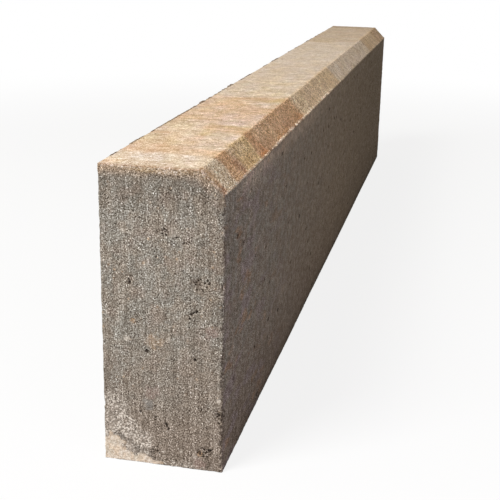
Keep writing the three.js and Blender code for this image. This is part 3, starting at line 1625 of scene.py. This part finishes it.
    def ground(self, painter: Painter, axes: dict[str, Socket], flank: Socket) -> Socket:
        """The colour under the grains: clouds of clay, slate, ash and blush, browner towards the foot.

        Args:
            painter: draws in the material.
            axes: where the place lies along X, Y and Z.
            flank: where the long faces are, from 0 to 1.

        Returns:
            The colour.
        """
        tree, place = painter.tree, painter.place
        colour = tree.blend(painter.cloud(self.clay_clouds), self.slate, self.clay)
        colour = tree.blend(painter.cloud(self.ash_clouds), colour, self.ash)
        colour = tree.blend(painter.cloud(self.blush_clouds), colour, self.blush)
        large = painter.specks(*self.large_grains)
        colour = tree.blend(tree.times(large["Mask"], large["Random"]), colour, self.stones)
        low = tree.times_plus(tree.noise(place, 60.0), 120.0, axes["Z"])
        colour = tree.blend(tree.between(low, 170.0, 60.0), colour, self.earth)
        colour = tree.blend(tree.between(axes["X"], *self.loam_along), colour, self.loam)
        drawn_out = tree.stretch(place, self.drawn_out)
        amount = tree.times(flank, tree.between(axes["X"], *self.dusk_along))
        dusky = tree.between(tree.noise(drawn_out, 14.0), 0.52, 0.62, 0.0, amount)
        rusty = tree.between(tree.noise(drawn_out, 9.0), 0.6, 0.7, 0.0, amount)
        return tree.blend(rusty, tree.blend(dusky, colour, self.dusk), self.brick)


@dataclass(frozen=True)
class FacingMix:
    """Marbled tan and cream fine concrete, smoothed by the press and streaked across the kerb.

    Each pair of numbers holds for the closed grain of the pressed top and for the open grain of the
    chamfer, in that order.
    """

    pale: Colour = srgb(248, 238, 222)
    dark: Colour = srgb(115, 80, 50)
    lean: Colour = (1.0, 1.25, 1.62)
    flake: float = 2.5
    coarse_grain: float = 1.2
    fine_grain: float = 0.9
    line_width: float = 3.0
    blot_size: float = 6.0
    hue_size: float = 8.0
    pale_grains: Numbers = (2.6, 0.3, 0.95)
    pale_share: float = 0.15
    dark_spacing: float = 1.4
    dark_radius: float = 0.66
    dark_grains: Numbers = (0.06, 0.5)
    pore_share: Numbers = (0.3, 0.6)
    flake_sway: Numbers = (0.36, 0.15)
    sand_sway: Numbers = (0.1, 0.85)
    fine_sway: Numbers = (0.98, 1.65)
    line_sway: Numbers = (0.76, 0.7)
    blot_sway: Numbers = (0.46, 0.65)
    brightness: Numbers = (0.97, 1.14)
    brightest: Numbers = (2.5, 1.75)
    sand_height: Numbers = (0.15, 0.9)
    calm_along: Numbers = (-300.0, 100.0, 0.2, 0.6)  # how the hue evens out towards the far end
    even_along: Numbers = (-340.0, 0.0, 1.0, 0.62)  # and how the light does

    def coat(self, painter: Painter, tint: Socket, openness: Socket) -> Coat:
        """Draws the facing mix.

        Args:
            painter: draws in the material.
            tint: the facing's own colour at that place.
            openness: how open its grain is there, from 0 to 1.

        Returns:
            The facing mix's colour, height and roughness.
        """
        tree, place = painter.tree, painter.place
        lines = painter.streaks((1, 3.2, 3.2), self.line_width)
        flakes = painter.sand(self.flake)["Random"]
        sand = painter.sand(self.coarse_grain)
        fine = tree.noise(place, self.fine_grain, detail=0)
        pale = painter.specks(*self.pale_grains)["Mask"]
        share = tree.mix(openness, *self.dark_grains)
        dark = painter.specks(self.dark_spacing, share, self.dark_radius)["Mask"]
        pores = tree.times(dark, tree.mix(openness, *self.pore_share))
        light = tree.times(
            tree.sway(flakes, tree.mix(openness, *self.flake_sway)),
            tree.sway(sand["Random"], tree.mix(openness, *self.sand_sway)),
            tree.sway(fine, tree.mix(openness, *self.fine_sway)),
            tree.sway(lines, tree.mix(openness, *self.line_sway)),
            tree.mix(openness, *self.brightness),
            tree.sway(tree.noise(place, self.blot_size, detail=1), tree.mix(openness, *self.blot_sway)),
        )
        light = tree.math("MINIMUM", light, tree.mix(openness, *self.brightest))
        along = tree.axes(place)["X"]
        calm = tree.mix(openness, tree.between(along, *self.calm_along), 0.7)
        warm = tree.noise(tree.stretch(place, (3, 1.5, 1.5)), self.hue_size, detail=0)
        green = tree.noise(tree.stretch(place, (2, -1, 1)), self.hue_size, detail=0)
        tint = tree.tone(tint, tree.mix(calm, warm, 0.5), tree.mix(calm, green, 0.5))
        evenness = tree.mix(openness, tree.between(along, *self.even_along), 1.0)
        colour = tree.grain(tint, tree.math("POWER", light, evenness), self.lean)
        colour = tree.blend(tree.times(pale, self.pale_share), colour, self.pale)
        colour = tree.blend(pores, colour, self.dark)
        height = tree.times(sand["Height"], tree.mix(openness, *self.sand_height))
        bumps = tree.total("ADD", height, tree.times(lines, 0.15), tree.times(pores, -0.2))
        return Coat(colour, bumps, tree.between(fine, 0.2, 0.8, 0.9, 0.78))


@dataclass(frozen=True)
class StoneFinish:
    """The pressed stone's whole finish: facing mix over body mix, parted by a ragged line."""

    body: BodyMix = BodyMix()
    facing: FacingMix = FacingMix()
    # dark brown for painted shade in pits, notches, bites and under the lip, and for the damp-looking band
    # by the smear
    shade_and_soil: Colour = srgb(66, 56, 48)
    smear: Colour = srgb(249, 236, 219)
    smear_warm: Colour = srgb(244, 221, 196)
    smear_lean: Colour = (0.9, 1.0, 1.12)
    bloom: Colour = srgb(244, 234, 221)
    crumb: Colour = srgb(92, 72, 53)
    edge_grain: float = 1.3  # the raggedness of every edge between two mixes
    white_spacing: float = 1.5
    white_radius: float = 0.85
    white_share: Numbers = (0.1, 1.0, 0.0, 0.78)
    fleck_clouds: Cloud = Cloud(0.9, 0.34, 0.6, 0.3, 1.0, detail=1)
    smear_clouds: Cloud = Cloud(5.0, 0.42, 0.62)
    crumb_clouds: Cloud = Cloud(2.5, 0.35, 0.6, 0.5, 0.95, detail=1)
    teeth_clouds: Cloud = Cloud(1.6, 0.4, 0.55, 0.15, 0.9)
    pit_shade: Numbers = (0.35, 0.8, 0.0, 0.95)  # painted shade in the pits, by how deep a pit is
    pit_pores: Numbers = (0.02, 0.28)
    # how dark the painted shade and crumbs below the lip are
    shade_and_grime_share: float = 0.15
    damp_share: float = 0.45

    def material(self, effects: Effects) -> bpy.types.Material:
        """Makes the material.

        Args:
            effects: the shared node groups.

        Returns:
            The material.
        """
        material = bpy.data.materials.new("pressed concrete")
        material.use_nodes = True
        tree = ShaderTree(material.node_tree)
        surface = material.node_tree.nodes["Principled BSDF"]
        metres = tree.add("ShaderNodeTexCoord").outputs["Object"]
        place = tree.vector("MULTIPLY", metres, (PER_METRE, PER_METRE, PER_METRE))
        painter = Painter(tree, effects, place)
        hollow = tree.attribute("hollow")
        whitening = tree.attribute("whitening")
        damage = tree.math("MAXIMUM", tree.between(hollow, *self.pit_pores), tree.times(whitening, 0.3))
        body = self.body.coat(painter, damage, tree.attribute("stain"))
        tint = tree.attribute("facing_tint", colour=True)
        facing = self.facing.coat(painter, tint, tree.attribute("openness"))
        ragged = tree.times_plus(tree.noise(place, self.edge_grain, detail=3, rough=0.65), 6.0, -3.0)
        over = self._facing_shown(tree, ragged)
        colour = self._bloomed(painter, body.colour, whitening)
        fleck = tree.times(tree.attribute("fleck"), painter.cloud(self.fleck_clouds))
        colour = tree.blend(fleck, colour, tree.attribute("fleck_tint", colour=True))
        colour = tree.blend(over, colour, self._smeared(painter, facing.colour))
        crumbs = tree.between(tree.attribute("crumbs"), 0.02, 0.2)
        colour = tree.blend(tree.times(crumbs, painter.cloud(self.crumb_clouds)), colour, self.crumb)
        # painted shade in pits, notches, bites and under the lip, and the damp band by the smear
        shaded_and_soiled = self._shaded_and_soiled(painter, hollow)
        tree.feed(surface.inputs["Base Color"], tree.blend(shaded_and_soiled, colour, self.shade_and_soil))
        tree.feed(surface.inputs["Roughness"], tree.mix(over, body.roughness, facing.roughness))
        bump = tree.add("ShaderNodeBump")
        bump.inputs["Strength"].default_value = 1.0
        bump.inputs["Distance"].default_value = 1 / PER_METRE
        tree.feed(bump.inputs["Height"], tree.mix(over, body.height, facing.height))
        tree.feed(surface.inputs["Normal"], bump.outputs[0])
        surface.inputs["Specular IOR Level"].default_value = 0.3
        return material

    @staticmethod
    def _facing_shown(tree: ShaderTree, ragged: Socket) -> Socket:
        """Where facing mix covers the body mix: on the crown, on the lip and in the smear.

        Args:
            tree: the material's tree.
            ragged: a stray that makes its edges ragged.

        Returns:
            A mask.
        """
        over = tree.between(tree.math("ADD", tree.attribute("cover"), ragged), -0.4, 0.4)
        smear = tree.times_plus(ragged, 0.17, tree.attribute("residue"))
        lip = tree.between(tree.times_plus(ragged, 0.19, tree.attribute("lip")), 0.35, 0.65)
        return tree.total("MAXIMUM", over, lip, tree.between(smear, 0.25, 0.75))

    def _bloomed(self, painter: Painter, colour: Socket, whitening: Socket) -> Socket:
        """Strews pale grains over the body mix.

        Args:
            painter: draws in the material.
            colour: the body mix's colour.
            whitening: how thick the grains lie, from 0 to 1.

        Returns:
            The colour with the grains on it.
        """
        tree = painter.tree
        thickness = tree.between(whitening, *self.white_share)
        white = painter.specks(self.white_spacing, thickness, self.white_radius)
        milky = tree.times(whitening, whitening, 0.18)
        return tree.blend(tree.times_plus(white["Mask"], 0.85, milky), colour, self.bloom)

    def _smeared(self, painter: Painter, colour: Socket) -> Socket:
        """Pales the facing mix where it lies as a thick smear.

        Args:
            painter: draws in the material.
            colour: the facing mix's colour.

        Returns:
            The paler colour.
        """
        tree, place = painter.tree, painter.place
        smear = tree.blend(painter.cloud(self.smear_clouds), self.smear, self.smear_warm)
        fine = tree.sway(tree.noise(place, 1.1, detail=1), 1.7)
        blots = tree.times(fine, tree.sway(tree.noise(place, 3.0), 0.45))
        thick = tree.between(tree.attribute("residue"), 0.4, 1.0, 0.0, 0.75)
        return tree.blend(thick, colour, tree.grain(smear, blots, self.smear_lean))

    def _shaded_and_soiled(self, painter: Painter, hollow: Socket) -> Socket:
        """Where the stone is darkened: painted shade in deep pits and in the notches and bites of broken
        arrises, painted shade and dark crumbs below the lip, and a damp-looking band along the smear.

        Args:
            painter: draws in the material.
            hollow: how deep the pits are.

        Returns:
            A mask.
        """
        tree = painter.tree
        # painted shade in the notches and bites of the broken arrises
        broken = tree.times(tree.attribute("teeth"), painter.cloud(self.teeth_clouds))
        # painted shade and dark crumbs in a ragged line below the lip
        lip_shade_and_dirt = tree.times(tree.attribute("shade_and_grime"), self.shade_and_grime_share)
        damp = tree.times(tree.attribute("damp"), self.damp_share)
        return tree.total("MAXIMUM", tree.between(hollow, *self.pit_shade), broken, lip_shade_and_dirt, damp)


@dataclass(frozen=True)
class FlatMap:
    """A flat map of the skin for baked pictures, with each side of the stone in a rectangle of its own."""

    shape: KerbShape
    name: str = "OFBake"
    pixels: float = 1024.0
    gap: float = 6.0  # between the rectangles, in pixels like the sizes below
    along: float = 1.01  # to a millimetre
    across: float = 1.25
    near_end: float = 3.5
    far_end: float = 1.5

    def rows(self) -> dict[Side, tuple[float, float, float]]:
        """How each long side is unrolled.

        Returns:
            For each side its direction in Y and Z, and where in the section it starts.
        """
        half = self.shape.thickness / 2
        rise, run = self.shape.slope
        return {
            Side.BED: (1.0, 0.0, -half),
            Side.FOOTWAY: (0.0, 1.0, 0.0),
            Side.TOP: (1.0, 0.0, self.shape.chamfer_width - half),
            Side.CHAMFER: (run, -rise, -half * run - (self.shape.height - self.shape.chamfer_drop) * rise),
            Side.ROAD: (0.0, 1.0, 0.0),
        }

    def lay(self, mesh: bpy.types.Mesh) -> None:
        """Adds the map to a mesh that is still in millimetres.

        Args:
            mesh: the stone's skin, all in triangles.
        """
        points = read_points(mesh)
        corners = np.empty(len(mesh.loops), np.int32)
        mesh.loops.foreach_get("vertex_index", corners)
        centres = points[corners].reshape(-1, 3, 3).mean(axis=1)
        side = np.repeat(self.shape.depths(centres).nearest, 3)
        places = points[corners]
        flat = np.zeros((len(corners), 2))
        line = self.gap
        for row, (across_y, across_z, start) in self.rows().items():
            chosen = side == row.value
            reach = places[:, 1] * across_y + places[:, 2] * across_z - start
            flat[chosen, 0] = self.gap + (places[chosen, 0] + self.shape.length / 2) * self.along
            flat[chosen, 1] = line + reach[chosen] * self.across
            line = np.ceil(flat[chosen, 1].max()) + self.gap
        column = self.gap
        for end, scale in ((Side.LEFT_END, self.near_end), (Side.RIGHT_END, self.far_end)):
            chosen = side == end.value
            flat[chosen, 0] = column + places[chosen, 2] * scale
            flat[chosen, 1] = line + (places[chosen, 1] + self.shape.thickness / 2) * scale
            column += self.shape.height * scale + self.gap
        layer = mesh.uv_layers.new(name=self.name)
        layer.uv.foreach_set("vector", (flat / self.pixels).astype(np.float32).ravel())


@dataclass
class KerbStone:
    """The stone itself: one closed skin with its wear, its colours and its finish."""

    shape: KerbShape
    faces_kept: int = 190000
    keep_factor: float = 0.02  # how much the thinning heeds where points are free to go
    freedom_steps: int = 8
    piece_name: str = "pressed_kerb_stone"

    def build(self, effects: Effects) -> bpy.types.Object:
        """Makes the worn stone.

        Args:
            effects: the shared node groups.

        Returns:
            The stone's object.
        """
        mesher = Mesher(self.shape)
        wear = Wear(self.shape)
        points, faces = mesher.skin()
        smooth, outward = mesher.rounded(points, wear.arris_radius(points))
        worn = wear.shift(smooth, outward)
        dense = self._mesh("dense skin", worn, faces)
        thinned = self._thin(dense, self._ease_of_thinning(smooth))
        self._hold(thinned, wear, Colouring(self.shape))
        FlatMap(self.shape).lay(thinned)
        thinned.transform(Matrix.Scale(1 / PER_METRE, 4))
        thinned.shade_smooth()
        thinned.materials.append(StoneFinish().material(effects))
        stone = bpy.data.objects.new(self.piece_name, thinned)
        bpy.context.scene.collection.objects.link(stone)
        return stone

    @staticmethod
    def _mesh(name: str, points: Array, faces: Array) -> bpy.types.Mesh:
        """Makes a mesh of four-cornered faces.

        Args:
            name: its name.
            points: places, one in each row.
            faces: the four points of each face.

        Returns:
            The mesh.
        """
        mesh = bpy.data.meshes.new(name)
        mesh.vertices.add(len(points))
        mesh.vertices.foreach_set("co", points.astype(np.float32).ravel())
        mesh.loops.add(faces.size)
        mesh.loops.foreach_set("vertex_index", faces.astype(np.int32).ravel())
        mesh.polygons.add(len(faces))
        mesh.polygons.foreach_set("loop_start", np.arange(0, faces.size, 4, dtype=np.int32))
        mesh.update(calc_edges=True)
        return mesh

    def _ease_of_thinning(self, points: Array) -> Array:
        """How freely each point may be thinned out: least on the near end and beside the arrises.

        Args:
            points: places on the smooth stone, one in each row.

        Returns:
            Numbers from 0 to 1.
        """
        depth = self.shape.depths(points)
        far_end = 0.6 * ease(depth.below(Side.RIGHT_END), 3, 1)
        arris = (0.3 + 0.25 * ease(depth.below(Side.CHAMFER), 4, 1)) * ease(depth.arris, 3, 1)
        near_end = ease(depth.below(Side.LEFT_END), 1.5, 0.5)
        return 1 - np.maximum(np.maximum(far_end, arris), near_end)

    def _thin(self, dense: bpy.types.Mesh, freedom: Array) -> bpy.types.Mesh:
        """Collapses the dense skin to the faces that a piece may have.

        Args:
            dense: the dense skin.
            freedom: how freely each of its points may be thinned out.

        Returns:
            The thinned mesh.
        """
        holder = bpy.data.objects.new("dense skin", dense)
        bpy.context.scene.collection.objects.link(holder)
        group = holder.vertex_groups.new(name="freedom")
        for level in np.linspace(0, 1, self.freedom_steps + 1)[1:]:
            half = 0.5 / self.freedom_steps
            chosen = np.flatnonzero((freedom > level - half) & (freedom <= level + half))
            group.add(chosen.tolist(), level, "REPLACE")
        thin = holder.modifiers.new("thin", "DECIMATE")
        thin.ratio = self.faces_kept / (2 * len(dense.polygons))
        thin.vertex_group = group.name
        thin.vertex_group_factor = self.keep_factor
        thin.use_collapse_triangulate = True
        depsgraph = bpy.context.evaluated_depsgraph_get()
        thinned = bpy.data.meshes.new_from_object(holder.evaluated_get(depsgraph))
        bpy.data.objects.remove(holder)
        bpy.data.meshes.remove(dense)
        return thinned

    @staticmethod
    def _hold(mesh: bpy.types.Mesh, wear: Wear, colouring: Colouring) -> None:
        """Stores on the mesh what its material reads.

        Args:
            mesh: the stone's skin, in millimetres.
            wear: the stone's unevenness.
            colouring: its colours.
        """
        points = read_points(mesh)
        lip = wear.lip_shown(points)
        residue = colouring.residue(points)
        tint = lean_towards(colouring.facing_tint(points), 0.9 * lip, Tint.PEARL)
        tint = lean_towards(tint, residue, Tint.MILK)
        fleck, fleck_tint = colouring.flecks_at(points)
        facing_depth = wear.shape.depths(points).facing
        values = {
            "cover": np.clip(wear.facing_reach(points) - facing_depth, -9, 9),
            "openness": colouring.coarseness(points) * (1 - 0.5 * lip),
            "lip": lip,
            "crumbs": wear.crumbs(points),
            # the ragged line below the lip: painted shade and dark crumbs
            "shade_and_grime": wear.shade_and_grime(points),
            # notches and bites, which the material darkens with painted shade
            "teeth": np.maximum(wear.teeth(points), wear.bitten(points)),
            "hollow": np.clip(wear.hollow(points), 0, None),
            "residue": residue,
            "whitening": colouring.whitening(points),
            "stain": colouring.stain(points),
            "damp": colouring.damp(points),
            "fleck": fleck,
        }
        for name, value in values.items():
            layer = mesh.attributes.new(name, "FLOAT", "POINT")
            layer.data.foreach_set("value", value.astype(np.float32))
        for name, colours in (("facing_tint", tint), ("fleck_tint", fleck_tint)):
            layer = mesh.attributes.new(name, "FLOAT_COLOR", "POINT")
            layer.data.foreach_set("color", np.insert(colours, 3, 1, axis=1).astype(np.float32).ravel())


@dataclass(frozen=True)
class Softbox:
    """A square studio lamp."""

    name: str
    place: tuple[float, float, float]
    aim: tuple[float, float, float]
    width: float
    level: float  # what a white surface shows that squarely faces it at the aim
    colour: Colour = (1.0, 1.0, 1.0)

    def build(self) -> None:
        """Hangs the lamp."""
        reach = Vector(self.aim) - Vector(self.place)
        lamp = bpy.data.lights.new(self.name, "AREA")
        lamp.shape = "SQUARE"
        lamp.size = self.width
        lamp.color = self.colour
        lamp.energy = self.level * math.pi**2 * reach.length_squared
        holder = bpy.data.objects.new(self.name, lamp)
        holder.location = self.place
        holder.rotation_euler = reach.to_track_quat("-Z", "Y").to_euler()
        bpy.context.scene.collection.objects.link(holder)


@dataclass(frozen=True)
class Studio:
    """The pale floor, the lamps, the surrounding light and the camera."""

    floor_width: float = 40.0
    floor_white: Colour = (0.9, 0.9, 0.9)
    floor_dim: Colour = (0.12, 0.11, 0.096)  # what it throws back at the stone
    floor_glow: float = 0.84  # the share of its own light beside the stone
    floor_fade: tuple[float, float] = (0.6, 1.5)  # metres from the middle over which the floor turns white
    surround: Colour = (0.235, 0.213, 0.186)
    softboxes: tuple[Softbox, ...] = (
        Softbox("key softbox", (-1.85, 1.08, 2.1), (-0.5, 0.0, 0.1), 1.2, 1.1),
        Softbox("fill softbox", (-1.0, -0.75, 0.45), (-0.5, -0.04, 0.1), 0.5, 0.24, (0.92, 0.86, 1.0)),
    )
    camera_place: tuple[float, float, float] = (-1.048109, -0.176188, 0.333051)
    camera_heading: float = 12.407  # degrees from +X towards +Y
    camera_pitch: float = -17.768
    camera_roll: float = 1.1195
    camera_lens: float = 71.02

    def build(self) -> None:
        """Sets everything up."""
        self._floor()
        self._world()
        for softbox in self.softboxes:
            softbox.build()
        self._camera()
        bpy.context.scene.view_settings.view_transform = "Standard"

    def _floor(self) -> None:
        """Lays the floor, which looks white but throws back only a little light."""
        half = self.floor_width / 2
        corners = [(-half, -half, 0), (half, -half, 0), (half, half, 0), (-half, half, 0)]
        mesh = bpy.data.meshes.new("floor")
        mesh.from_pydata(corners, [], [(0, 1, 2, 3)])
        floor = bpy.data.objects.new("floor", mesh)
        bpy.context.scene.collection.objects.link(floor)
        material = bpy.data.materials.new("studio floor")
        material.use_nodes = True
        material.node_tree.nodes.clear()
        tree = ShaderTree(material.node_tree)
        path = tree.add("ShaderNodeLightPath")
        white = tree.add("ShaderNodeBsdfDiffuse")
        tree.feed(white.inputs["Color"], self.floor_white)
        dim = tree.add("ShaderNodeBsdfDiffuse")
        tree.feed(dim.inputs["Color"], self.floor_dim)
        glow = tree.add("ShaderNodeEmission")
        shown = tree.add("ShaderNodeMixShader")
        away = tree.add("ShaderNodeVectorMath", operation="LENGTH")
        tree.feed(away.inputs[0], tree.add("ShaderNodeTexCoord").outputs["Object"])
        whiter = tree.between(away.outputs["Value"], *self.floor_fade, self.floor_glow, 1.0)
        tree.feed(shown.inputs[0], whiter)
        tree.feed(shown.inputs[1], white.outputs[0])
        tree.feed(shown.inputs[2], glow.outputs[0])
        both = tree.add("ShaderNodeMixShader")
        tree.feed(both.inputs[0], path.outputs["Is Camera Ray"])
        tree.feed(both.inputs[1], dim.outputs[0])
        tree.feed(both.inputs[2], shown.outputs[0])
        out = tree.add("ShaderNodeOutputMaterial")
        tree.feed(out.inputs["Surface"], both.outputs[0])
        mesh.materials.append(material)

    def _world(self) -> None:
        """Fills the room with soft light, white where it is looked at directly."""
        world = bpy.data.worlds.new("studio")
        world.use_nodes = True
        world.node_tree.nodes.clear()
        tree = ShaderTree(world.node_tree)
        path = tree.add("ShaderNodeLightPath")
        seen = tree.math("MAXIMUM", path.outputs["Is Camera Ray"], path.outputs["Is Glossy Ray"])
        seen = tree.math("MAXIMUM", seen, path.outputs["Is Transmission Ray"])
        colour = tree.blend(seen, self.surround, (1.0, 1.0, 1.0))
        back = tree.add("ShaderNodeBackground")
        tree.feed(back.inputs["Color"], colour)
        out = tree.add("ShaderNodeOutputWorld")
        tree.feed(out.inputs["Surface"], back.outputs[0])
        bpy.context.scene.world = world

    def _camera(self) -> None:
        """Puts the camera up."""
        heading, pitch, roll = (
            math.radians(angle) for angle in (self.camera_heading, self.camera_pitch, self.camera_roll)
        )
        ahead = Vector(
            (math.cos(pitch) * math.cos(heading), math.cos(pitch) * math.sin(heading), math.sin(pitch))
        )
        right = ahead.cross(Vector((0, 0, 1))).normalized()
        above = right.cross(ahead)
        across = math.cos(roll) * right + math.sin(roll) * above
        upward = math.cos(roll) * above - math.sin(roll) * right
        turn = Matrix((across, upward, -ahead)).transposed().to_4x4()
        data = bpy.data.cameras.new("camera")
        data.lens = self.camera_lens
        data.clip_start = 0.05
        camera = bpy.data.objects.new("camera", data)
        camera.matrix_world = Matrix.Translation(self.camera_place) @ turn
        bpy.context.scene.collection.objects.link(camera)
        bpy.context.scene.camera = camera


def main() -> None:
    """Builds the studio and the stone, and reports what was made."""
    logging.basicConfig(level=logging.INFO, format="%(name)s: %(message)s")
    Studio().build()
    shape = KerbShape.from_frame(NODE)
    LOG.info("sizes %s", shape)
    stone = KerbStone(shape).build(Effects())
    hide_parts(NODE)
    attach(stone, "root")
    LOG.info("%s: %d faces", stone.name, len(stone.data.polygons))


if __name__ == "__main__":
    main()
